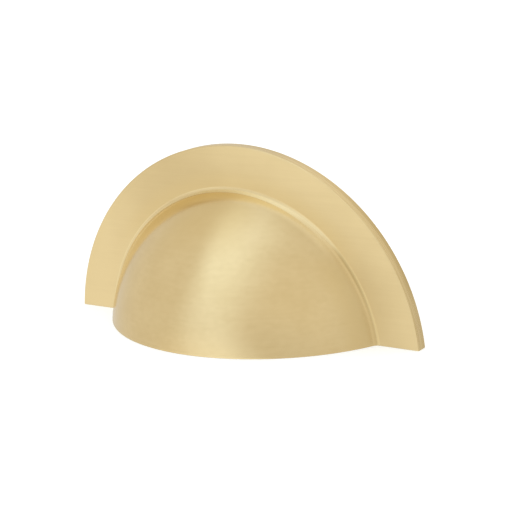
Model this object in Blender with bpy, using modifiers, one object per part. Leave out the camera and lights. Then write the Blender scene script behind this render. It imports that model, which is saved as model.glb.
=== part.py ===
"""Cup pull for a drawer: one solid brass casting.

A half-moon plate lies against the drawer front, and a hollow cup, part of a sphere, swells out of it.
The cup is open at the back and below, so fingers reach in from underneath. Two posts inside the cup
hold the blind bores that take the fixing screws from behind the drawer front.

Metres, +Z up. The pull stands on its flat lower edge at Z = 0, centred on the origin. The plate's back
faces +Y, and the cup comes forward to -Y.
"""

import math

import bmesh
import bpy

MM = 0.001

# Cup
CUP_RADIUS = 35.2 * MM  # outside of the cup where it meets the front of the plate
CUP_DEPTH = 22.5 * MM  # how far the cup stands out from the front of the plate
CUP_WALL = 2.5 * MM
ROOT_FILLET = 1.4 * MM  # concave round between the cup and the plate

# Plate
PLATE_MARGIN = 10.0 * MM  # width of the plate outside the cup
PLATE_THICKNESS = 2.9 * MM
FRONT_EDGE_ROUND = 0.25 * MM
BACK_EDGE_ROUND = 0.2 * MM

# Lower edge
CUT_ABOVE_CENTRE = 4.25 * MM  # the flat lower edge lies this far above the centre of the arcs
CUT_EDGE_ROUND = 0.25 * MM

# Screw posts
SCREW_SPACING = 32.0 * MM
POST_RADIUS = 4.5 * MM
POST_IN_WALL = 0.3 * MM  # how far a post's far side runs into the wall of the cup at the back
BORE_RADIUS = 1.65 * MM  # before the thread is cut
BORE_DEPTH = 7.0 * MM
BORE_LEAD_IN = 0.4 * MM
DRILL_POINT = math.radians(118)

# Facets
TURN_STEPS = 128
BORE_STEPS = 32
OVERCUT = 1.0 * MM  # how far a cutter runs past the face that it opens

# Sizes that follow from those above. Depths are measured forward from the plate's back.
TOTAL_DEPTH = PLATE_THICKNESS + CUP_DEPTH
PLATE_RADIUS = CUP_RADIUS + PLATE_MARGIN
SPHERE_RADIUS = (CUP_RADIUS**2 + CUP_DEPTH**2) / (2 * CUP_DEPTH)
SPHERE_CENTRE = TOTAL_DEPTH - SPHERE_RADIUS
HOLLOW_SPHERE_RADIUS = SPHERE_RADIUS - CUP_WALL
HOLLOW_RADIUS = math.sqrt(HOLLOW_SPHERE_RADIUS**2 - SPHERE_CENTRE**2)
POST_OUT = HOLLOW_RADIUS + POST_IN_WALL - POST_RADIUS
POST_HEIGHT = math.sqrt(POST_OUT**2 - (SCREW_SPACING / 2) ** 2) - CUT_ABOVE_CENTRE
REACH = SPHERE_CENTRE + math.sqrt(SPHERE_RADIUS**2 - CUT_ABOVE_CENTRE**2)
BACK = REACH / 2

BRASS = (0.80, 0.62, 0.32, 1.0)
BRASS_ROUGHNESS = 0.32


def clear_scene():
    for obj in list(bpy.data.objects):
        bpy.data.objects.remove(obj, do_unlink=True)


def make_collection(name):
    collection = bpy.data.collections.new(name)
    bpy.context.scene.collection.children.link(collection)
    return collection


def brass_material():
    material = bpy.data.materials.new("brass")
    material.use_nodes = True
    shader = material.node_tree.nodes["Principled BSDF"]
    shader.inputs["Base Color"].default_value = BRASS
    shader.inputs["Metallic"].default_value = 1.0
    shader.inputs["Roughness"].default_value = BRASS_ROUGHNESS
    return material


def arc(centre_radius, centre_depth, radius, start, end, steps):
    """Points (radius, depth) of an arc. Angles are in radians, from straight outward towards the front."""
    angles = [start + (end - start) * i / steps for i in range(steps + 1)]
    return [
        (centre_radius + radius * math.cos(a), centre_depth + radius * math.sin(a))
        for a in angles
    ]


def turned(name, profile, across, height, steps, collection):
    """A body of revolution about an axis along Y. The profile lists (radius, depth) from the front
    of the axis, down the outer side, to the back of the axis."""
    mesh = bpy.data.meshes.new(name)
    points = [(radius, BACK - depth, 0.0) for radius, depth in profile]
    edges = [(i, i + 1) for i in range(len(points) - 1)]
    mesh.from_pydata(points, edges, [])
    obj = bpy.data.objects.new(name, mesh)
    obj.location = (across, 0.0, height)
    collection.objects.link(obj)
    screw = obj.modifiers.new("turn", "SCREW")
    screw.axis = "Y"
    screw.steps = steps
    screw.render_steps = steps
    screw.use_merge_vertices = True
    screw.merge_threshold = 0.00001
    screw.use_normal_flip = True
    return obj


def cut(obj, cutter):
    boolean = obj.modifiers.new("cut " + cutter.name, "BOOLEAN")
    boolean.operation = "DIFFERENCE"
    boolean.solver = "EXACT"
    boolean.object = cutter


def as_cutter(obj):
    obj.hide_render = True
    obj.display_type = "WIRE"
    return obj


def outer_profile():
    """The outside of the cup, the root fillet, and the plate with its rounded edges."""
    fillet_depth = PLATE_THICKNESS + ROOT_FILLET
    fillet_out = math.sqrt(
        (SPHERE_RADIUS + ROOT_FILLET) ** 2 - (fillet_depth - SPHERE_CENTRE) ** 2
    )
    meeting = math.atan2(fillet_depth - SPHERE_CENTRE, fillet_out)
    cup = arc(0.0, SPHERE_CENTRE, SPHERE_RADIUS, math.pi / 2, meeting, 30)
    cup[0] = (0.0, TOTAL_DEPTH)
    fillet = arc(fillet_out, fillet_depth, ROOT_FILLET, meeting - math.pi, -math.pi / 2, 6)
    front_edge = arc(
        PLATE_RADIUS - FRONT_EDGE_ROUND,
        PLATE_THICKNESS - FRONT_EDGE_ROUND,
        FRONT_EDGE_ROUND,
        math.pi / 2,
        0.0,
        4,
    )
    back_edge = arc(
        PLATE_RADIUS - BACK_EDGE_ROUND,
        BACK_EDGE_ROUND,
        BACK_EDGE_ROUND,
        0.0,
        -math.pi / 2,
        2,
    )
    return cup + fillet[1:] + front_edge + back_edge + [(0.0, 0.0)]


def hollow_profile():
    """The inside of the cup, run on past the plate's back."""
    end = math.asin((-OVERCUT - SPHERE_CENTRE) / HOLLOW_SPHERE_RADIUS)
    inside = arc(0.0, SPHERE_CENTRE, HOLLOW_SPHERE_RADIUS, math.pi / 2, end, 24)
    inside[0] = (0.0, SPHERE_CENTRE + HOLLOW_SPHERE_RADIUS)
    return inside + [(0.0, -OVERCUT)]


def post_profile():
    return [
        (0.0, TOTAL_DEPTH),
        (POST_RADIUS, TOTAL_DEPTH),
        (POST_RADIUS, -2 * OVERCUT),
        (0.0, -2 * OVERCUT),
    ]


def bore_profile():
    """A drilled blind bore with a pointed end and a lead-in chamfer at the plate's back."""
    point = BORE_RADIUS / math.tan(DRILL_POINT / 2)
    return [
        (0.0, BORE_DEPTH + point),
        (BORE_RADIUS, BORE_DEPTH),
        (BORE_RADIUS, BORE_LEAD_IN),
        (BORE_RADIUS + BORE_LEAD_IN, 0.0),
        (BORE_RADIUS + BORE_LEAD_IN, -OVERCUT),
        (0.0, -OVERCUT),
    ]


def trim_at_lower_edge(obj):
    """Cuts the turned casting off flat at Z = 0, closes the cut and rounds its edges."""
    graph = bpy.context.evaluated_depsgraph_get()
    mesh = bmesh.new()
    mesh.from_object(obj, graph)
    mesh.transform(obj.matrix_world)
    bmesh.ops.bisect_plane(
        mesh,
        geom=mesh.verts[:] + mesh.edges[:] + mesh.faces[:],
        dist=CUT_EDGE_ROUND / 2,
        plane_co=(0.0, 0.0, 0.0),
        plane_no=(0.0, 0.0, 1.0),
        use_snap_center=True,
        clear_inner=True,
    )
    rim = [edge for edge in mesh.edges if edge.is_boundary]
    bmesh.ops.contextual_create(mesh, geom=rim)
    bmesh.ops.bevel(
        mesh,
        geom=rim,
        offset=CUT_EDGE_ROUND,
        offset_type="OFFSET",
        segments=2,
        profile=0.5,
        affect="EDGES",
        clamp_overlap=True,
    )
    bmesh.ops.recalc_face_normals(mesh, faces=mesh.faces)
    obj.modifiers.clear()
    mesh.to_mesh(obj.data)
    mesh.free()
    obj.location = (0.0, 0.0, 0.0)


def build():
    clear_scene()
    parts = make_collection("cup_pull")
    cutters = make_collection("cutters")
    centre_height = -CUT_ABOVE_CENTRE

    body = turned("cup_pull_body", outer_profile(), 0.0, centre_height, TURN_STEPS, parts)
    hollow = as_cutter(
        turned("hollow", hollow_profile(), 0.0, centre_height, TURN_STEPS, cutters)
    )
    bores = []
    for side, name in ((-1, "left"), (1, "right")):
        across = side * SCREW_SPACING / 2
        post = turned("post_" + name, post_profile(), across, POST_HEIGHT, BORE_STEPS, cutters)
        cut(hollow, as_cutter(post))
        bore = turned("bore_" + name, bore_profile(), across, POST_HEIGHT, BORE_STEPS, cutters)
        bores.append(as_cutter(bore))
    cut(body, hollow)
    for bore in bores:
        cut(body, bore)

    bpy.context.view_layer.update()
    trim_at_lower_edge(body)
    body.data.materials.clear()
    body.data.materials.append(brass_material())
    body.data.shade_smooth()
    body.data.set_sharp_from_angle(angle=math.radians(30))


build()
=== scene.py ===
# %% [markdown]
# # A drawer's cup pull in satin brass
#
# A cup pull is screwed to a drawer front, and the fingers hook up into its cup from below. This one is
# a single brass casting: a thin half-moon plate, and a hollow cup, part of a sphere, that swells out of
# it. The lesson dresses the plain solid from the CAD step: it turns the casting again with finer curves,
# cuts real screw threads, gives every surface its own finish, and lights it as a studio would.
#
# Its box is kept, because the finished piece has to fill the same space, neither more nor less.

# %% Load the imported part
import math

import bmesh
import bpy
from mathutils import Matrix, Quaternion, Vector


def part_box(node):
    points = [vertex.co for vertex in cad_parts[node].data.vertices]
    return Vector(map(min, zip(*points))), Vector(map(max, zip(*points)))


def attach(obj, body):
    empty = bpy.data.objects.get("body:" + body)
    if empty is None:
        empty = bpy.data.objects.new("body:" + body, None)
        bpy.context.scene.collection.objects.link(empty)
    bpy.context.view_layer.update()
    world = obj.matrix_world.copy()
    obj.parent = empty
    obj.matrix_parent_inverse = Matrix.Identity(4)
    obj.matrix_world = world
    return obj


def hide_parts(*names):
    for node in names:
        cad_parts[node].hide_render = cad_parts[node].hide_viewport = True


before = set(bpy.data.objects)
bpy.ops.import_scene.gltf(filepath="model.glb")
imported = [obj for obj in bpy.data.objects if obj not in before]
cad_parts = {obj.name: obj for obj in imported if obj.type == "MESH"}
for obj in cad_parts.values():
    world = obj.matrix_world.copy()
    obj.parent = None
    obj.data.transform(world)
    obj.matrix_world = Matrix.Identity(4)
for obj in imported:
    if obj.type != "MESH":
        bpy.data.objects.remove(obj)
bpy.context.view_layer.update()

MM = 0.001

# %% [markdown]
# ## The camera
#
# The camera comes first, so that every later step can be looked at. It could be placed by eye, but a
# round plate shows its viewing angle exactly: how far the circle is squashed gives the azimuth and the
# elevation, and how fast it shrinks towards the back gives the distance. The camera stands about a
# third of a metre away, to the right and a little above, and is rolled by three degrees.

# %% Place the camera
VIEW_AZIMUTH = math.radians(33.74)
VIEW_ELEVATION = math.radians(14.28)
VIEW_ROLL = math.radians(-3.01)
VIEW_DISTANCE = 322.6 * MM
LENS_MM = 99.94
CLIP_START = 10 * MM
AIM = Vector((3.1, 14.84, 14.36)) * MM


def add_to_scene(name, data):
    """Links a new object that holds this data, and returns it."""
    thing = bpy.data.objects.new(name, data)
    bpy.context.scene.collection.objects.link(thing)
    return thing


towards_camera = Vector((
    math.sin(VIEW_AZIMUTH) * math.cos(VIEW_ELEVATION),
    -math.cos(VIEW_AZIMUTH) * math.cos(VIEW_ELEVATION),
    math.sin(VIEW_ELEVATION),
))
camera = add_to_scene("camera", bpy.data.cameras.new("camera"))
camera.data.lens = LENS_MM
camera.data.clip_start = CLIP_START
camera.rotation_mode = "QUATERNION"
camera.location = AIM + towards_camera * VIEW_DISTANCE
roll = Quaternion((0, 0, 1), VIEW_ROLL)
camera.rotation_quaternion = (-towards_camera).to_track_quat("-Z", "Y") @ roll
bpy.context.scene.camera = camera
print("camera at, in mm:", [round(c / MM, 1) for c in camera.location])

# %% [markdown]
# ## The sizes of the casting
#
# A half-moon that is cut off a little above its centre has a width and a height, and the two give back
# the radius of its arc. Its depth in the same way gives back the sphere of the cup. So only the sizes
# that the box can't tell are written here: the plate's margin and thickness, the wall, and the rounds.

# %% Work the sizes out from the frame
PLATE_MARGIN = 10.0 * MM
PLATE_THICKNESS = 2.9 * MM
CUP_WALL = 2.5 * MM
ROOT_FILLET = 1.4 * MM
FRONT_EDGE_ROUND = 0.25 * MM
BACK_EDGE_ROUND = 0.2 * MM
LOWER_EDGE_ROUND = 0.18 * MM

body_low, body_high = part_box("cup_pull_body")
back = body_high.y
reach = body_high.y - body_low.y
height = body_high.z
half_width = body_high.x
plate_radius = (half_width**2 / height + height) / 2
cut_height = plate_radius - height
cup_radius = plate_radius - PLATE_MARGIN
depth_squares = reach**2 + cut_height**2 - cup_radius**2 - PLATE_THICKNESS**2
sphere_depth = depth_squares / (2 * (reach - PLATE_THICKNESS))
sphere_radius = math.hypot(cup_radius, PLATE_THICKNESS - sphere_depth)
hollow_radius = sphere_radius - CUP_WALL
axis = Vector((0, back, -cut_height))
print("plate radius in mm:", round(plate_radius / MM, 2), " cut above centre:", round(cut_height / MM, 2))
print("sphere of the cup in mm:", round(sphere_radius / MM, 2))

# %% [markdown]
# ## Drawing profiles with a pen
#
# The casting is round about one axis, so it is turned, as on a lathe: a profile is drawn, then spun.
# A profile could be a typed list of points, but its rounds would then be guesses. Here a single vertex
# is the pen's tip. Extruding it draws a straight line, and spinning it about a centre draws a true arc.
# Profiles lie in the plane X = 0. A place in one is given by how far out it is from the axis and how
# deep it is in front of the plate's back, and angles run from straight outward towards the front.

# %% The pen
def place(out, depth):
    """The point of a profile this far out from the axis and this far in front of the plate's back."""
    return axis + Vector((0, -depth, out))


def pen_down(profile, out, depth):
    return profile.verts.new(place(out, depth))


def line_to(profile, tip, out, depth):
    """Draws a straight line from the tip, and returns the new tip."""
    drawn = bmesh.ops.extrude_vert_indiv(profile, verts=[tip])
    end = drawn["verts"][0]
    end.co = place(out, depth)
    return end


def arc_about(profile, tip, out, depth, angle, steps):
    """Swings the tip about the centre at (out, depth), and returns the new tip."""
    swung = bmesh.ops.spin(
        profile,
        geom=[tip],
        cent=place(out, depth),
        axis=(1, 0, 0),
        angle=angle,
        steps=steps,
    )
    return swung["geom_last"][0]


print("profiles start from, in mm:", [round(c / MM, 2) for c in place(0, 0)])

# %% [markdown]
# ## The lathe
#
# A full spin with its ends merged makes the solid. Points on the axis come out once for every step, so
# doubles are merged, and only then are the normals made to point outwards.

# %% The lathe
TURN_STEPS = 360
MERGE = 0.002 * MM


def everything(shape):
    return shape.verts[:] + shape.edges[:] + shape.faces[:]


def only(kind, items):
    """Those of the items that are of this kind, such as bmesh.types.BMVert."""
    return [item for item in items if isinstance(item, kind)]


def open_edges(shape):
    return [edge for edge in shape.edges if edge.is_boundary]


def turn(profile, centre, steps=TURN_STEPS):
    """Spins a profile right round the line along Y through the centre."""
    bmesh.ops.spin(
        profile,
        geom=everything(profile),
        cent=centre,
        axis=(0, 1, 0),
        angle=math.tau,
        steps=steps,
        use_merge=True,
    )
    bmesh.ops.remove_doubles(profile, verts=profile.verts, dist=MERGE)
    close_holes(profile)


def close_holes(shape):
    """Puts one flat face on each open loop and turns all faces outwards."""
    bmesh.ops.holes_fill(shape, edges=open_edges(shape), sides=0)
    bmesh.ops.recalc_face_normals(shape, faces=shape.faces)


def finish_mesh(name, shape):
    """Makes an object of the bmesh."""
    mesh = bpy.data.meshes.new(name)
    shape.to_mesh(mesh)
    shape.free()
    return add_to_scene(name, mesh)


print("a full turn has", TURN_STEPS, "steps")

# %% [markdown]
# ## The blank
#
# The blank is the outside of the casting with nothing hollowed yet: the cup's sphere, the fillet where
# the cup meets the plate, the plate's flat front, and its two eased edges. The fillet matters more than
# its size says: it draws the bright line round the root of the cup.
#
# The fillet touches the sphere from outside, so its centre is one sphere radius and one fillet radius
# from the sphere's centre. That gives where it stands and at what angle the two arcs meet.

# %% Turn the blank
CUP_STEPS = 72
FILLET_STEPS = 10
EDGE_STEPS = 5

fillet_depth = PLATE_THICKNESS + ROOT_FILLET
fillet_out = math.sqrt((sphere_radius + ROOT_FILLET) ** 2 - (fillet_depth - sphere_depth) ** 2)
meeting_angle = math.atan2(fillet_depth - sphere_depth, fillet_out)
quarter = math.pi / 2

blank = bmesh.new()
tip = pen_down(blank, 0, sphere_depth + sphere_radius)
tip = arc_about(blank, tip, 0, sphere_depth, meeting_angle - quarter, CUP_STEPS)
tip = arc_about(blank, tip, fillet_out, fillet_depth, quarter - meeting_angle, FILLET_STEPS)
tip = line_to(blank, tip, plate_radius - FRONT_EDGE_ROUND, PLATE_THICKNESS)
tip = arc_about(
    blank, tip, plate_radius - FRONT_EDGE_ROUND, PLATE_THICKNESS - FRONT_EDGE_ROUND, -quarter, EDGE_STEPS
)
tip = line_to(blank, tip, plate_radius, BACK_EDGE_ROUND)
arc_about(blank, tip, plate_radius - BACK_EDGE_ROUND, BACK_EDGE_ROUND, -quarter, EDGE_STEPS)
turn(blank, axis)
casting = finish_mesh("cup_pull_casting", blank)
print("blank:", len(casting.data.polygons), "faces")

# %% [markdown]
# ## The hollow and the screw posts
#
# From behind, the cup is hollow, and two round posts stand in it to take the fixing screws. A foundry
# gets this with one core: a ball with two holes bored through it. The core is made in the same way
# here. A Boolean cuts the posts out of the core, and then the core out of the blank, so the plate's
# back and the ends of the posts stay one flat plane, as if ground together.

# %% Core out the cup
SCREW_SPACING = 32 * MM
POST_RADIUS = 4.5 * MM
POST_IN_WALL = 0.3 * MM
POST_STEPS = 96
RUN_OUT = 1 * MM

hollow_out = math.sqrt(hollow_radius**2 - sphere_depth**2)
post_out = hollow_out + POST_IN_WALL - POST_RADIUS
post_height = math.sqrt(post_out**2 - (SCREW_SPACING / 2) ** 2)
post_axis = axis + Vector((SCREW_SPACING / 2, 0, post_height))


def both_posts(shape):
    """Moves a shape from the casting's axis to the right post, and repeats it at the left one."""
    bmesh.ops.translate(shape, verts=shape.verts, vec=post_axis - axis)
    copied = bmesh.ops.duplicate(shape, geom=everything(shape))
    copied_points = only(bmesh.types.BMVert, copied["geom"])
    bmesh.ops.translate(shape, verts=copied_points, vec=(-SCREW_SPACING, 0, 0))


def settle(work):
    """Makes what the modifiers give the object's own mesh, and clears them."""
    settled = work.evaluated_get(bpy.context.evaluated_depsgraph_get())
    mesh = bpy.data.meshes.new_from_object(settled)
    work.modifiers.clear()
    work.data = mesh


def cut(work, tool):
    """Cuts the tool out of the work for good, and throws the tool away."""
    boolean = work.modifiers.new("cut", "BOOLEAN")
    boolean.operation = "DIFFERENCE"
    boolean.solver = "EXACT"
    boolean.object = tool
    settle(work)
    bpy.data.objects.remove(tool)


core = bmesh.new()
tip = pen_down(core, 0, sphere_depth + hollow_radius)
core_end = math.asin((-RUN_OUT - sphere_depth) / hollow_radius)
arc_about(core, tip, 0, sphere_depth, core_end - quarter, CUP_STEPS)
turn(core, axis)
core = finish_mesh("core", core)

posts = bmesh.new()
tip = pen_down(posts, 0, reach + RUN_OUT)
tip = line_to(posts, tip, POST_RADIUS, reach + RUN_OUT)
line_to(posts, tip, POST_RADIUS, -2 * RUN_OUT)
turn(posts, axis, POST_STEPS)
both_posts(posts)
cut(core, finish_mesh("posts", posts))
cut(casting, core)
print("cored casting:", len(casting.data.polygons), "faces")

# %% [markdown]
# ## Drilled and tapped
#
# Each post holds a blind hole for an M4 screw. A workshop drills it, countersinks its mouth and then
# taps it. Here the tap cuts first, and the drill, which carries the countersink, comes last. The order
# doesn't change the shape, because both only take brass away. The tap is one pitch of the thread's
# zigzag, spun while it moves along the axis, so every turn starts where the last one ended. Its core
# is thinner than the drill, which leaves the flat tops that a real thread has.

# %% Cut the bores and their threads
BORE_RADIUS = 1.65 * MM
BORE_DEPTH = 7 * MM
BORE_LEAD_IN = 0.4 * MM
DRILL_POINT = math.radians(118)
BORE_STEPS = 48
THREAD_RADIUS = 2 * MM
THREAD_PITCH = 0.7 * MM
THREAD_DEPTH = 6 * MM
THREAD_FLANK = math.radians(30)
THREAD_ROOT_FLAT = THREAD_PITCH / 8
TAP_CORE = 1.6 * MM
TURNS_OUTSIDE = 2

tap = bmesh.new()
flank_run = (THREAD_RADIUS - TAP_CORE) * math.tan(THREAD_FLANK)
crest_flat = THREAD_PITCH - THREAD_ROOT_FLAT - 2 * flank_run
tip = pen_down(tap, TAP_CORE, -TURNS_OUTSIDE * THREAD_PITCH)
for out, forward in (
    (TAP_CORE, crest_flat),
    (THREAD_RADIUS, flank_run),
    (THREAD_RADIUS, THREAD_ROOT_FLAT),
    (TAP_CORE, flank_run),
):
    tip = line_to(tap, tip, out, axis.y - tip.co.y + forward)
turns = math.ceil(THREAD_DEPTH / THREAD_PITCH) + TURNS_OUTSIDE + 1
bmesh.ops.spin(
    tap,
    geom=everything(tap),
    cent=axis,
    axis=(0, -1, 0),
    dvec=(0, -THREAD_PITCH / BORE_STEPS, 0),
    angle=math.tau * turns,
    steps=BORE_STEPS * turns,
)
bmesh.ops.remove_doubles(tap, verts=tap.verts, dist=MERGE)
for end, outward in ((-THREAD_PITCH / 2, 1), (THREAD_DEPTH, -1)):
    bmesh.ops.bisect_plane(
        tap,
        geom=everything(tap),
        plane_co=place(0, end),
        plane_no=(0, outward, 0),
        clear_outer=True,
    )
close_holes(tap)
both_posts(tap)
cut(casting, finish_mesh("tap", tap))

drill = bmesh.new()
tip = pen_down(drill, 0, BORE_DEPTH + BORE_RADIUS / math.tan(DRILL_POINT / 2))
tip = line_to(drill, tip, BORE_RADIUS, BORE_DEPTH)
tip = line_to(drill, tip, BORE_RADIUS, BORE_LEAD_IN)
tip = line_to(drill, tip, BORE_RADIUS + BORE_LEAD_IN + RUN_OUT, -RUN_OUT)
turn(drill, axis, BORE_STEPS)
both_posts(drill)
cut(casting, finish_mesh("drill", drill))
print("drilled and tapped:", len(casting.data.polygons), "faces")

# %% [markdown]
# ## The lower edge
#
# The full round is now trimmed to a half-moon. A Bevel would be the usual way to ease the new edge, but
# the turned faces meet the cut at shallow angles, and a bevel that slides along such slivers comes out
# uneven. So the casting is trimmed a little high, and the open edge is extruded ring by ring along a
# quarter circle. Each point moves inward along its own normal, which the extrusion hands on in a layer.

# %% Trim and ease the lower edge
RIM_STEPS = 4
SNAP = 0.03 * MM


def points_of(edges):
    return {point for edge in edges for point in edge.verts}


trimmed = bmesh.new()
trimmed.from_mesh(casting.data)
bmesh.ops.bisect_plane(
    trimmed,
    geom=everything(trimmed),
    dist=SNAP,
    plane_co=(0, 0, LOWER_EDGE_ROUND),
    plane_no=(0, 0, 1),
    use_snap_center=True,
    clear_inner=True,
)
inward = trimmed.verts.layers.float_vector.new("inward")
bmesh.ops.remove_doubles(trimmed, verts=list(points_of(open_edges(trimmed))), dist=SNAP)
trimmed.normal_update()
rim = open_edges(trimmed)
for point in points_of(rim):
    point[inward] = -Vector((point.normal.x, point.normal.y, 0)).normalized()
for step in range(RIM_STEPS):
    before = quarter * step / RIM_STEPS
    after = quarter * (step + 1) / RIM_STEPS
    ring = bmesh.ops.extrude_edge_only(trimmed, edges=rim)["geom"]
    rim = only(bmesh.types.BMEdge, ring)
    for point in only(bmesh.types.BMVert, ring):
        point.co += point[inward] * LOWER_EDGE_ROUND * (math.cos(before) - math.cos(after))
        point.co.z -= LOWER_EDGE_ROUND * (math.sin(after) - math.sin(before))
trimmed.verts.layers.float_vector.remove(inward)
close_holes(trimmed)
trimmed.to_mesh(casting.data)
faults = sum(not edge.is_manifold for edge in trimmed.edges)
print("trimmed casting:", len(trimmed.faces), "faces,", faults, "edges that don't join two faces")
trimmed.free()

# %% [markdown]
# ## Smooth where it is round, crisp where it is cut
#
# Shading is smooth across the turned surfaces and breaks at real corners. Big flat faces would borrow a
# tilt from the small rounds beside them, so a Weighted Normal modifier lets the larger face decide.

# %% Shade the casting
CORNER = math.radians(32)
LARGEST_FACE_DECIDES = 100

casting.data.shade_smooth()
casting.data.set_sharp_from_angle(angle=CORNER)
weighted = casting.modifiers.new("flat faces stay flat", "WEIGHTED_NORMAL")
weighted.keep_sharp = True
weighted.weight = LARGEST_FACE_DECIDES
settle(casting)
print("shaded:", len(casting.data.vertices), "points")

# %% [markdown]
# ## Shader maths as Python
#
# A finish is a little sum over the surface: fine lines, broad unevenness, a brighter worn edge. Node by
# node such sums are long to write, so a wire from a node is wrapped in a small class, and adding or
# multiplying wires adds the Math node for it. One method of the sheet adds every other kind of node.

# %% Wires
class Wire:
    """The value that comes out of a node."""

    def __init__(self, sheet, socket):
        self.sheet = sheet
        self.socket = socket

    def maths(self, operation, first, second):
        return self.sheet.node("ShaderNodeMath", {"operation": operation}, {0: first, 1: second})

    def __add__(self, other):
        return self.maths("ADD", self, other)

    def __sub__(self, other):
        return self.maths("SUBTRACT", self, other)

    def __rsub__(self, other):
        return self.maths("SUBTRACT", other, self)

    def __mul__(self, other):
        return self.maths("MULTIPLY", self, other)

    __radd__ = __add__
    __rmul__ = __mul__


# %% Sheets of nodes
ACROSS = (1, 0, 0)
UPWARD = (0, 0, 1)
FRONTWARD = (0, -1, 0)
REARWARD = (0, 1, 0)
ACROSS_AND_UP = (1, 0, 1)


class Sheet:
    """The nodes of a material or of the world, with the shader that they feed."""

    def __init__(self, owner, shader):
        owner.use_nodes = True
        self.owner = owner
        self.tree = owner.node_tree
        self.shader = self.tree.nodes[shader]

    def node(self, kind, settings, values, output=0):
        """Adds a node: its settings first, then a value or a wire for each socket."""
        added = self.tree.nodes.new(kind)
        for setting, value in settings.items():
            setattr(added, setting, value)
        for socket, value in values.items():
            self.feed(added.inputs[socket], value)
        return Wire(self, added.outputs[output])

    def feed(self, socket, value):
        if isinstance(value, Wire):
            self.tree.links.new(value.socket, socket)
        else:
            socket.default_value = value

    def paint(self, **values):
        """Feeds the shader, with spaces of socket names written as low lines."""
        for name, value in values.items():
            self.feed(self.shader.inputs[name.replace("_", " ")], value)

    def coordinates(self, kind):
        return self.node("ShaderNodeTexCoord", {}, {}, output=kind)

    def vector_maths(self, operation, values, output="Vector"):
        return self.node("ShaderNodeVectorMath", {"operation": operation}, values, output)

    def scaled(self, vector, factor):
        return self.vector_maths("SCALE", {0: vector, "Scale": factor})

    def stretched(self, vector, stretch):
        return self.vector_maths("MULTIPLY", {0: vector, 1: stretch})

    def summed(self, first, second):
        return self.vector_maths("ADD", {0: first, 1: second})

    def along(self, vector, direction):
        """How far the vector goes in this direction."""
        return self.vector_maths("DOT_PRODUCT", {0: vector, 1: direction}, "Value")

    def reach(self, vector, start):
        """How far the vector's end is from the start."""
        return self.vector_maths("DISTANCE", {0: vector, 1: start}, "Value")

    def place_in_mm(self):
        """Where a point of the surface is, in millimetres."""
        return self.scaled(self.coordinates("Object"), 1 / MM)

    def from_axis(self, place):
        """How far a point of the casting is from the casting's axis, in millimetres."""
        return self.reach(self.stretched(place, ACROSS_AND_UP), (0, 0, axis.z / MM))

    def noise(self, vector, scale, detail=2.0, roughness=0.5):
        """Soft random values, about 0.5 in the middle."""
        return self.node(
            "ShaderNodeTexNoise",
            {},
            {"Vector": vector, "Scale": scale, "Detail": detail, "Roughness": roughness},
        )

    def between(self, value, low, high):
        """0 below low and 1 above high, with a smooth rise from one to the other."""
        return self.node(
            "ShaderNodeMapRange",
            {"interpolation_type": "SMOOTHSTEP"},
            {"Value": value, "From Min": low, "From Max": high},
        )

    def within(self, value, rise, fall):
        """1 from the rise to the fall, and 0 outside them. Both are pairs, low and high."""
        return self.between(value, *rise) * (1 - self.between(value, *fall))

    def blend(self, factor, first, second):
        """A colour between two colours."""
        return self.node("ShaderNodeMix", {"data_type": "RGBA"}, {0: factor, 6: first, 7: second}, output=2)

    def bump(self, height, strength, distance):
        values = {"Height": height, "Strength": strength, "Distance": distance}
        return self.node("ShaderNodeBump", {}, values, output="Normal")


def metal_sheet(name):
    return Sheet(bpy.data.materials.new(name), "Principled BSDF")


def say_nodes(finish):
    print(finish.name, "has", len(finish.node_tree.nodes), "nodes")


# %% [markdown]
# ## Brass
#
# Brass takes its colour as a metal does: it has no colour of its own under the light, but tints what it
# mirrors. So its finishes share nearly one base colour and differ in how they are worked. Where the light
# bounces twice, as in the root of the cup, the tint is applied twice and the gold gets deeper.
#
# Brushing is a noise that is nearly constant along the strokes and quick across them. Stretching the
# coordinates does this: for strokes that run level round the cup, only Z is left fast. Each kind of
# stroke is a pair, for its streaks and for its hairlines, of how fast they change along X, Y and Z.

# %% Brass and its brushing
BRASS_LIGHT = (0.82, 0.665, 0.374, 1)
BRASS_DEEP = (0.77, 0.612, 0.328, 1)
# A warm colour for painted reflection, where brass mirrors brass near the cup's root.
BRASS_PAINTED_BOUNCE = (0.77, 0.595, 0.288, 1)
# A dark colour: the painted shade line in the cup's root, and the rim's darker back.
BRASS_DARKENED = (0.6, 0.455, 0.21, 1)
LEVEL_STROKES = ((0.03, 0.03, 1.0), (0.012, 0.012, 1.0))
STREAK_SCALE = 1.6
HAIRLINE_SCALE = 9.0
HAIRLINE_SHARE = 0.6
NOISE_MIDDLE = 0.5


def brushed(sheet, place, strokes):
    """Hairlines over broader streaks."""
    for_streaks, for_hairlines = strokes
    streaks = sheet.noise(sheet.stretched(place, for_streaks), STREAK_SCALE)
    hairlines = sheet.noise(sheet.stretched(place, for_hairlines), HAIRLINE_SCALE, detail=3.0, roughness=0.6)
    return hairlines * HAIRLINE_SHARE + streaks * (1 - HAIRLINE_SHARE)


def uneven(middle, *swings):
    """The middle value, swung up and down. Each swing is a noise and how far it swings in all."""
    value = middle
    for noise, swing in swings:
        value = value + (noise - NOISE_MIDDLE) * swing
    return value
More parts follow.
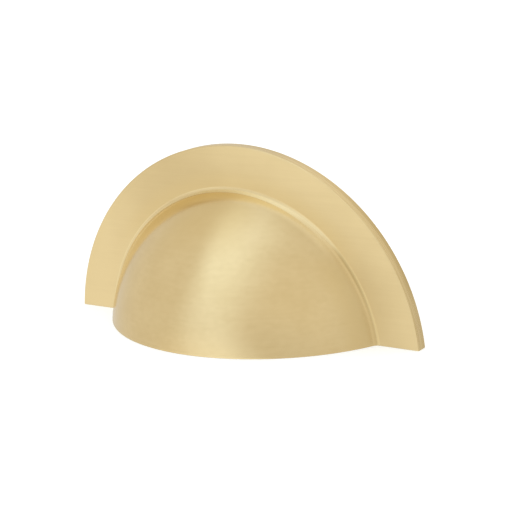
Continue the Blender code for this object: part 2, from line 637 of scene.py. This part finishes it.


# %% [markdown]
# ## Painted highlight, reflection and shade on the cup
#
# Light and shade are painted into the cup's colour in a few places. Each one is a zone:
# a soft stretch outward from the root of the cup, times a soft stretch across or up the pull. The root
# is the circle where the cup's sphere would meet the plate. A pair is a fade, from where a zone begins
# to where it is full, and two pairs are a zone's rise and its fall, all in millimetres.
#
# The lune beside the cup's root, wider at the left, is brightened as a painted reflection of the plate,
# and the fillet beside it gets a painted highlight. Near the root at the top and the far right a warm
# painted reflection is laid on, and a thin line of painted shade lies in the root at the right.
# One photograph can't tell such a place from a reflection, so where they lie is partly a guess.

# %% Where the cup gets painted reflection and highlight
LEFT_HALF = (-30, 0)
LEFT_SIDE = (-30, -12)
MIDDLE = (-5, 3)
RIGHT_HALF = (2, 12)
FAR_RIGHT = (22, 28)
ABOVE_FOOT = (1, 12)
INTO_FILLET = (-0.5, 0.0)
OUT_OF_FILLET = (0.1, 0.5)

LUNE_EDGE = -1.0
LUNE_WIDENS = 3.9
LUNE_NARROWS = 0.4
LUNE_FADE = (-0.8, 0.1)
LUNE_FADE_GROWS = (-1.2, 0.6)
LUNE_LOSS_PAST_MIDDLE = 0.6
LUNE_GAIN_AT_RIGHT = 0.5
LUNE_AT_FOOT = 0.1
LIP = ((-18, -10), (-6, 0))
LIP_SHARE = 0.35
RIGHT_FILLET = (9, 16)
RIGHT_FILLET_SHARE = 0.35


def painted_highlight_zone(sheet, sideways, upward, from_root):
    """How much painted highlight and reflection the cup gets: the lune inside its root, and the fillet
    beside it.
    """
    left = 1 - sheet.between(sideways, *LEFT_SIDE)
    right = sheet.between(sideways, *RIGHT_HALF)
    past_middle = sheet.between(sideways, *MIDDLE)
    above_foot = sheet.between(upward, *ABOVE_FOOT)
    edge = right * LUNE_NARROWS + LUNE_EDGE - (1 - sheet.between(sideways, *LEFT_HALF)) * LUNE_WIDENS
    low, high = (left * grows + near for near, grows in zip(LUNE_FADE, LUNE_FADE_GROWS))
    lune = sheet.between(from_root, edge + low, edge + high)
    lune = lune * (1 - past_middle * LUNE_LOSS_PAST_MIDDLE + right * LUNE_GAIN_AT_RIGHT)
    lune = lune * (above_foot * (1 - LUNE_AT_FOOT) + LUNE_AT_FOOT)
    lip = sheet.within(sideways, *LIP) * sheet.between(from_root, *OUT_OF_FILLET)
    fillet = left + lip * LIP_SHARE + sheet.between(sideways, *RIGHT_FILLET) * RIGHT_FILLET_SHARE
    in_fillet = sheet.between(from_root, *INTO_FILLET)
    zone = lune * (1 - in_fillet) + fillet * in_fillet
    return zone * (1 - sheet.between(sideways, *FAR_RIGHT))


# %% Where the cup gets warm painted reflection, and painted shade
TOP = ((-15, -6), (4, 12))
UNDER_LUNE = ((-14, -2), (-2.0, -1.3))
NEAR_ROOT = (-4.7, -1.7)
WARM_UNDER_LUNE = 0.65
WARM_IN_FILLET = 0.9
WARM_AT_FAR_RIGHT = 0.5

# Where the line of painted shade lies in the cup's root at the right.
SHADE_LINE_RIGHT = (24.5, 28)
SHADE_LINE_UP = (6, 15)
SHADE_LINE = ((-0.2, 0.2), (0.5, 0.9))
SHADE_LINE_LOW = ((0.1, 0.35), (0.7, 0.88))
LINE_HIGH_UP = 0.8
LINE_AT_FOOT = 0.05
LOW_LINE_AT_FOOT = 0.4


def painted_bounce_zone(sheet, sideways, from_root):
    """How much warm painted reflection the cup gets: round the lune at the top, and near the root at the far
    right.
    """
    top = sheet.within(sideways, *TOP)
    under_lune = sheet.within(from_root, *UNDER_LUNE)
    in_fillet = sheet.within(from_root, INTO_FILLET, OUT_OF_FILLET)
    far_right = sheet.between(from_root, *NEAR_ROOT) * sheet.between(sideways, *FAR_RIGHT)
    at_top = top * (under_lune * WARM_UNDER_LUNE + in_fillet * WARM_IN_FILLET)
    return at_top + far_right * WARM_AT_FAR_RIGHT


def painted_shade_line_zone(sheet, sideways, upward, from_root):
    """How much painted shade the cup gets: a dark line in the root at the right, and a fainter, narrower one
    at its foot.
    """
    high_up = sheet.between(upward, *SHADE_LINE_UP)
    line = sheet.within(from_root, *SHADE_LINE)
    line = line * (high_up * (LINE_HIGH_UP - LINE_AT_FOOT) + LINE_AT_FOOT)
    low_line = sheet.within(from_root, *SHADE_LINE_LOW) * (1 - high_up)
    return (line + low_line * LOW_LINE_AT_FOOT) * sheet.between(sideways, *SHADE_LINE_RIGHT)


# %% [markdown]
# ## The satin cup
#
# The cup has fine level strokes and is buffed close, so that it still mirrors the plate beside it. Small
# flecks and slow clouds break its tone up. It gets a little rougher where it runs into the plate, because
# a wheel can't follow the fillet. A thin coat stands for the lacquer that keeps such brass from browning.

# %% The satin cup
# The colour of the painted reflection in the lune and the painted highlight on the fillet.
BRASS_PAINTED_HIGHLIGHT = (0.95, 0.8, 0.47, 1)
CUP_CLOUD_SCALE = 0.11
CUP_STROKE_SHARE = 0.4
CUP_TONES = (0.3, 0.7)
FLECK_STRETCH = (0.6, 0.6, 1.0)
FLECK_SCALE = 1.1
FLECK_SWING = 0.3
CUP_STROKE_HEIGHT = 0.2
TOWARDS_PLATE = (-0.6, 0.8)
ROUGHER_TOWARDS_PLATE = 0.15


def satin_cup():
    sheet = metal_sheet("satin_cup")
    place = sheet.place_in_mm()
    strokes = brushed(sheet, place, LEVEL_STROKES)
    clouds = sheet.noise(place, CUP_CLOUD_SCALE)
    flecks = sheet.noise(sheet.stretched(place, FLECK_STRETCH), FLECK_SCALE)
    tone = strokes * CUP_STROKE_SHARE + clouds * (1 - CUP_STROKE_SHARE)
    tone = uneven(tone, (flecks, FLECK_SWING))
    from_root = sheet.from_axis(place) - cup_radius / MM
    sideways = sheet.along(place, ACROSS)
    upward = sheet.along(place, UPWARD)
    base = sheet.blend(sheet.between(tone, *CUP_TONES), BRASS_DEEP, BRASS_LIGHT)
    # Painted reflection in the lune, and painted highlight on the fillet.
    base = sheet.blend(painted_highlight_zone(sheet, sideways, upward, from_root), base, BRASS_PAINTED_HIGHLIGHT)
    # Warm painted reflection near the root.
    base = sheet.blend(painted_bounce_zone(sheet, sideways, from_root), base, BRASS_PAINTED_BOUNCE)
    # Painted shade: a dark line in the root at the right.
    base = sheet.blend(painted_shade_line_zone(sheet, sideways, upward, from_root), base, BRASS_DARKENED)
    towards_plate = sheet.between(from_root, *TOWARDS_PLATE)
    sheet.paint(
        Base_Color=base,
        Metallic=1.0,
        Roughness=uneven(0.18, (strokes, 0.1), (clouds, 0.05)) + towards_plate * ROUGHER_TOWARDS_PLATE,
        Coat_Weight=0.2,
        Coat_Roughness=0.2,
        Normal=sheet.bump(strokes * CUP_STROKE_HEIGHT + clouds, strength=0.2, distance=0.02 * MM),
    )
    return sheet.owner


cup_finish = satin_cup()
say_nodes(cup_finish)

# %% [markdown]
# ## The brushed plate
#
# The plate's face has coarser strokes, so it mirrors nothing sharply. Painted shade makes it darker
# beside the cup at the right, low at the right, and in a patch at the upper left. Only its far left is
# quite bright. Above the root of the cup a painted reflection of the cup makes it a little warmer.

# %% The brushed plate
# The plate's own colour, and the darker colour of its painted shade.
BRASS_BRIGHT = (0.87, 0.712, 0.403, 1)
BRASS_PAINTED_SHADE = (0.685, 0.537, 0.285, 1)
PLATE_CLOUD_SCALE = 0.13
PLATE_STROKE_HEIGHT = 0.3
RIGHT_OF_TOP = (-20, 0)
DOWN_AND_RIGHT = (1, 0, -1)
LOW_RIGHT = (-8, 28)
PAST_FAR_LEFT = (-38, -32)
# The middle and the size of a patch of painted shade at the upper left.
DARK_PATCH_MIDDLE = (-17, 0, 32)
DARK_PATCH_SIZE = (4, 20)
ABOVE = (14, 24)
PAST_ROOT = (36, 41)
# How strong the plate's painted shade is in each place.
SHADE_BESIDE_CUP_RIGHT = 0.37
SHADE_BESIDE_CUP_LOW = 0.16
SHADE_RIGHT = 0.06
SHADE_LOW_RIGHT = 0.36
SHADE_IN_DARK_PATCH = 0.53
SHADE_PAST_FAR_LEFT = 0.17
SHADE_STROKE_SWING = 0.4
SHADE_CLOUD_SWING = 0.25
# How strong the painted reflection of the cup is, on the plate above its root.
WARM_ABOVE_ROOT = 0.45


def brushed_plate():
    sheet = metal_sheet("brushed_plate")
    place = sheet.place_in_mm()
    strokes = brushed(sheet, place, LEVEL_STROKES)
    clouds = sheet.noise(place, PLATE_CLOUD_SCALE)
    from_axis = sheet.from_axis(place)
    sideways = sheet.along(place, ACROSS)
    beside_cup = 1 - sheet.between(from_axis, cup_radius / MM, plate_radius / MM)
    right = sheet.between(sideways, *RIGHT_OF_TOP)
    low_right = sheet.between(sheet.along(place, DOWN_AND_RIGHT), *LOW_RIGHT)
    from_dark_patch = sheet.reach(sheet.stretched(place, ACROSS_AND_UP), DARK_PATCH_MIDDLE)
    # Painted shade: darker beside the cup, low at the right, in a patch at the upper left, and right of the
    # far left.
    plate_shade = beside_cup * (right * SHADE_BESIDE_CUP_RIGHT + low_right * SHADE_BESIDE_CUP_LOW)
    plate_shade = plate_shade + right * SHADE_RIGHT + low_right * SHADE_LOW_RIGHT
    plate_shade = plate_shade + (1 - sheet.between(from_dark_patch, *DARK_PATCH_SIZE)) * SHADE_IN_DARK_PATCH
    plate_shade = plate_shade + sheet.between(sideways, *PAST_FAR_LEFT) * SHADE_PAST_FAR_LEFT
    plate_shade = uneven(plate_shade, (strokes, SHADE_STROKE_SWING), (clouds, SHADE_CLOUD_SWING))
    # Painted reflection of the cup: warmer above its root.
    above = sheet.between(sheet.along(place, UPWARD), *ABOVE)
    bounce_above_root = (1 - sheet.between(from_axis, *PAST_ROOT)) * above * WARM_ABOVE_ROOT
    sheet.paint(
        Base_Color=sheet.blend(bounce_above_root, sheet.blend(plate_shade, BRASS_BRIGHT, BRASS_PAINTED_SHADE), BRASS_PAINTED_BOUNCE),
        Metallic=1.0,
        Roughness=uneven(0.34, (strokes, 0.12), (clouds, 0.06)),
        Normal=sheet.bump(strokes * PLATE_STROKE_HEIGHT + clouds, strength=0.2, distance=0.02 * MM),
    )
    return sheet.owner


plate_finish = brushed_plate()
say_nodes(plate_finish)

# %% [markdown]
# ## The brushed rim
#
# On the rim the strokes run along it, so only the depth changes fast. Its colour darkens towards the
# back, and most of all on its shoulders.

# %% The brushed rim
RIM_STROKES = ((0.05, 1.0, 0.05), (0.02, 1.0, 0.02))
RIM_DEEP = (0.76, 0.6, 0.315, 1)
RIM_LIGHT = (0.85, 0.7, 0.4, 1)
RIM_TONES = (0.35, 0.65)
BEHIND_ROUND = (9.9, 10.3)
NEAR_BACK = (10.2, 12.2)
SHOULDER = ((8, 14), (26, 36))
DARK_NEAR_BACK = 0.35
SHOULDER_DARK_BEHIND_ROUND = 0.25
SHOULDER_DARK_NEAR_BACK = 0.35


def brushed_edge():
    sheet = metal_sheet("brushed_edge")
    place = sheet.place_in_mm()
    strokes = brushed(sheet, place, RIM_STROKES)
    depth = sheet.along(place, REARWARD)
    behind_round = sheet.between(depth, *BEHIND_ROUND)
    near_back = sheet.between(depth, *NEAR_BACK)
    shoulder = sheet.within(sheet.along(place, UPWARD), *SHOULDER)
    shoulder = shoulder * (behind_round * SHOULDER_DARK_BEHIND_ROUND + near_back * SHOULDER_DARK_NEAR_BACK)
    base = sheet.blend(sheet.between(strokes, *RIM_TONES), RIM_DEEP, RIM_LIGHT)
    sheet.paint(
        Base_Color=sheet.blend(near_back * DARK_NEAR_BACK + shoulder, base, BRASS_DARKENED),
        Metallic=1.0,
        Roughness=uneven(0.28, (strokes, 0.2)),
        Normal=sheet.bump(strokes, strength=0.3, distance=0.02 * MM),
    )
    return sheet.owner


rim_finish = brushed_edge()
say_nodes(rim_finish)

# %% [markdown]
# ## The hidden surfaces
#
# Nobody sees the back of a pull, so it is only ground flat, with straight marks. The inside keeps the
# skin of the casting, blasted but not brushed, and the screw threads are freshly cut and brighter than
# the skin round them.

# %% The ground back, the cast inside and the cut threads
GRINDING = ((0.03, 1.0, 1.0), (0.015, 1.0, 1.0))
GROUND_TONES = (0.3, 0.7)
CAST_DARK = (0.55, 0.4, 0.2, 1)
CAST_LIGHT = (0.72, 0.55, 0.3, 1)
CAST_TONES = (0.35, 0.65)
GRAIN_SCALE = 2.6
GRAIN_SHARE = 0.4
CAST_CLOUD_SCALE = 0.16
CHATTER_SCALE = 6.0


def ground_brass():
    """The flat back and the lower edge."""
    sheet = metal_sheet("ground_brass")
    place = sheet.place_in_mm()
    strokes = brushed(sheet, place, GRINDING)
    sheet.paint(
        Base_Color=sheet.blend(sheet.between(strokes, *GROUND_TONES), BRASS_DEEP, BRASS_LIGHT),
        Metallic=1.0,
        Roughness=uneven(0.34, (strokes, 0.24)),
        Normal=sheet.bump(strokes, strength=0.4, distance=0.03 * MM),
    )
    return sheet.owner


def cast_brass():
    """Inside the cup."""
    sheet = metal_sheet("cast_brass")
    place = sheet.place_in_mm()
    grains = sheet.noise(place, GRAIN_SCALE, detail=4.0, roughness=0.6)
    clouds = sheet.noise(place, CAST_CLOUD_SCALE, detail=3.0)
    tone = grains * GRAIN_SHARE + clouds * (1 - GRAIN_SHARE)
    sheet.paint(
        Base_Color=sheet.blend(sheet.between(tone, *CAST_TONES), CAST_DARK, CAST_LIGHT),
        Metallic=1.0,
        Roughness=uneven(0.5, (grains, 0.2)),
        Normal=sheet.bump(grains, strength=0.5, distance=0.05 * MM),
    )
    return sheet.owner


def tapped_brass():
    """The screw threads."""
    sheet = metal_sheet("tapped_brass")
    chatter = sheet.noise(sheet.place_in_mm(), CHATTER_SCALE)
    sheet.paint(
        Base_Color=sheet.blend(chatter, BRASS_DEEP, BRASS_LIGHT),
        Metallic=1.0,
        Roughness=uneven(0.22, (chatter, 0.1)),
        Normal=sheet.bump(chatter, strength=0.2, distance=0.01 * MM),
    )
    return sheet.owner


hidden_finishes = [ground_brass(), cast_brass(), tapped_brass()]
for finish in hidden_finishes:
    say_nodes(finish)

# %% [markdown]
# ## Which finish goes where
#
# One casting carries six finishes, each laid by the tool that worked that surface. A face could be
# picked by hand, but its place says enough: how far it is from the casting's axis, from the centre of
# the cup's sphere, and from the axis of a screw post.

# %% Lay the finishes on the casting
SKIN = 0.05 * MM
SQUARE_ON = 0.99
finishes = [cup_finish, plate_finish, rim_finish, *hidden_finishes]
CUP, PLATE, EDGE, GROUND, CAST, TAPPED = range(len(finishes))
sphere_centre = place(0, sphere_depth)


def finish_of(centre, normal):
    """The finish of a face, by where it lies and which way it looks."""
    depth = back - centre.y
    from_axis = math.hypot(centre.x, centre.z - axis.z)
    from_post = math.hypot(abs(centre.x) - SCREW_SPACING / 2, centre.z - post_axis.z)
    from_sphere = (centre - sphere_centre).length
    if abs(normal.y) > SQUARE_ON and depth < SKIN or normal.z < -SQUARE_ON and centre.z < SKIN:
        return GROUND
    if from_axis > plate_radius - FRONT_EDGE_ROUND / 2:
        return EDGE
    if from_axis > fillet_out:
        return PLATE
    if depth > PLATE_THICKNESS and from_sphere > sphere_radius - SKIN:
        return CUP
    if from_post < THREAD_RADIUS + SKIN or from_post < POST_RADIUS / 2 and depth < BORE_LEAD_IN:
        return TAPPED
    return CAST


casting.data.materials.clear()
for finish in finishes:
    casting.data.materials.append(finish)
counts = [0] * len(finishes)
for face in casting.data.polygons:
    face.material_index = finish_of(face.center, face.normal)
    counts[face.material_index] += 1
print("faces with each finish:", dict(zip([finish.name for finish in finishes], counts)))

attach(casting, "root")
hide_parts("cup_pull_body")

# %% [markdown]
# ## The floor
#
# A catalogue photograph has a white floor that the metal doesn't mirror, because the backdrop was made
# white afterwards. Cycles can do the same: each object has a switch for the rays that see it. The floor
# is a wide sheet of white acrylic, which the camera sees, and which the brass looks past. It glows a
# little, so that it comes out white.

# %% The floor
FLOOR_SIDE = 6.0
FLOOR_GAP = 0.01 * MM
ACRYLIC = (0.86, 0.86, 0.86, 1)
ACRYLIC_GLOW = (0.88, 0.95, 1.0, 1)

sheet_of_acrylic = bmesh.new()
bmesh.ops.create_grid(sheet_of_acrylic, x_segments=1, y_segments=1, size=FLOOR_SIDE / 2)
bmesh.ops.translate(sheet_of_acrylic, verts=sheet_of_acrylic.verts, vec=(0, 0, -FLOOR_GAP))
floor = finish_mesh("floor", sheet_of_acrylic)
acrylic = metal_sheet("white_acrylic")
acrylic.paint(Base_Color=ACRYLIC, Roughness=0.6, Emission_Color=ACRYLIC_GLOW, Emission_Strength=0.5)
floor.data.materials.append(acrylic.owner)
floor.visible_glossy = False
print("floor side in metres:", FLOOR_SIDE)

# %% [markdown]
# ## The room
#
# Satin metal shows its surroundings blurred, so the light is a question of what the cup mirrors. Lamps
# could be set up one by one, but their edges would then have to be blurred too. Here the whole studio is
# painted on the world: a value for each direction.
#
# The room is an even warm grey, a little darker behind. It has a few soft spots, such as the pale paper
# that the plate mirrors from below. Each has a middle, a fade and a gain. The fade is given as cosines
# of the angle from the middle, because that is what a dot product of two directions gives.

# %% Paint the room
ROOM_COLOUR = Vector((0.81, 0.765, 0.69))
REAR_FADE = (-0.5, 0.2)
REAR_LOSS = 0.06
SPOTS = {
    "paper below": (Vector((-0.28, -0.77, -0.57)), (0.66, 0.96), 0.19),
    "wall behind": (Vector((0.25, 0.77, 0.6)), (0.7, 1.0), 0.2),
    "window": (Vector((0.64, -0.53, 0.55)), (0.8, 1.0), 0.05),
    "dark stand": (Vector((0.52, -0.84, -0.15)), (0.8, 1.0), -0.05),
    "dim corner": (Vector((0.75, 0.65, 0.1)), (0.4, 0.9), -0.07),
}

studio = Sheet(bpy.data.worlds.new("studio"), "Background")
bpy.context.scene.world = studio.owner
direction = studio.coordinates("Generated")
across = studio.along(direction, ACROSS)
frontward = studio.along(direction, FRONTWARD)
upward = studio.along(direction, UPWARD)

room_level = 1 - (1 - studio.between(frontward, *REAR_FADE)) * REAR_LOSS
for middle, fade, gain in SPOTS.values():
    room_level = room_level + studio.between(studio.along(direction, middle), *fade) * gain
room_light = studio.scaled(ROOM_COLOUR, room_level)
print("room painted with", len(SPOTS), "spots")

# %% [markdown]
# ## The softbox
#
# A tall softbox stands in front, a little to the left, and gives the broad upright sheen. Its left edge
# is nearly sharp high up and softer lower down, and its right edge leans. Low down both edges move to
# the right. It is brightest above the front: straight ahead it is weaker, and overhead it fades away
# towards the back.

# %% Hang the softbox
SOFTBOX_COLOUR = Vector((0.31, 0.42, 0.56))
LEFT_EDGE = -0.49
LEFT_BLUR_LOW = 0.34
LEFT_BLUR_HIGH = 0.12
LEFT_BLUR_SHRINKS = (0, 0.8)
RIGHT_EDGE_START = -0.21
RIGHT_EDGE_END = 0.27
RIGHT_EDGE_LEANS = 0.16
LEANING = (0, 1)
LOW_SPREAD = (-0.15, 0.2)
LEFT_EDGE_SHIFTS = 0.06
RIGHT_EDGE_SHIFTS = 0.3
OVERHEAD_FADE = (-0.75, 0.78)
STRAIGHT_AHEAD = (0.6, 1.05)
LOSS_STRAIGHT_AHEAD = 0.42

low_down = 1 - studio.between(upward, *LOW_SPREAD)
left_blur = studio.between(upward, *LEFT_BLUR_SHRINKS) * (LEFT_BLUR_HIGH - LEFT_BLUR_LOW) + LEFT_BLUR_LOW
left_edge = low_down * LEFT_EDGE_SHIFTS + LEFT_EDGE
right_lean = studio.between(upward, *LEANING) * RIGHT_EDGE_LEANS
right_edge_end = right_lean + low_down * RIGHT_EDGE_SHIFTS + RIGHT_EDGE_END
softbox = (
    studio.between(across, left_edge - left_blur, left_edge + left_blur)
    * (1 - studio.between(across, RIGHT_EDGE_START, right_edge_end))
    * studio.between(frontward, *OVERHEAD_FADE)
    * (1 - studio.between(frontward, *STRAIGHT_AHEAD) * LOSS_STRAIGHT_AHEAD)
)
softbox_light = studio.scaled(SOFTBOX_COLOUR, softbox)
studio.paint(Color=studio.summed(room_light, softbox_light))

bpy.context.scene.view_settings.view_transform = "Standard"
print("studio painted with", len(studio.tree.nodes), "nodes")
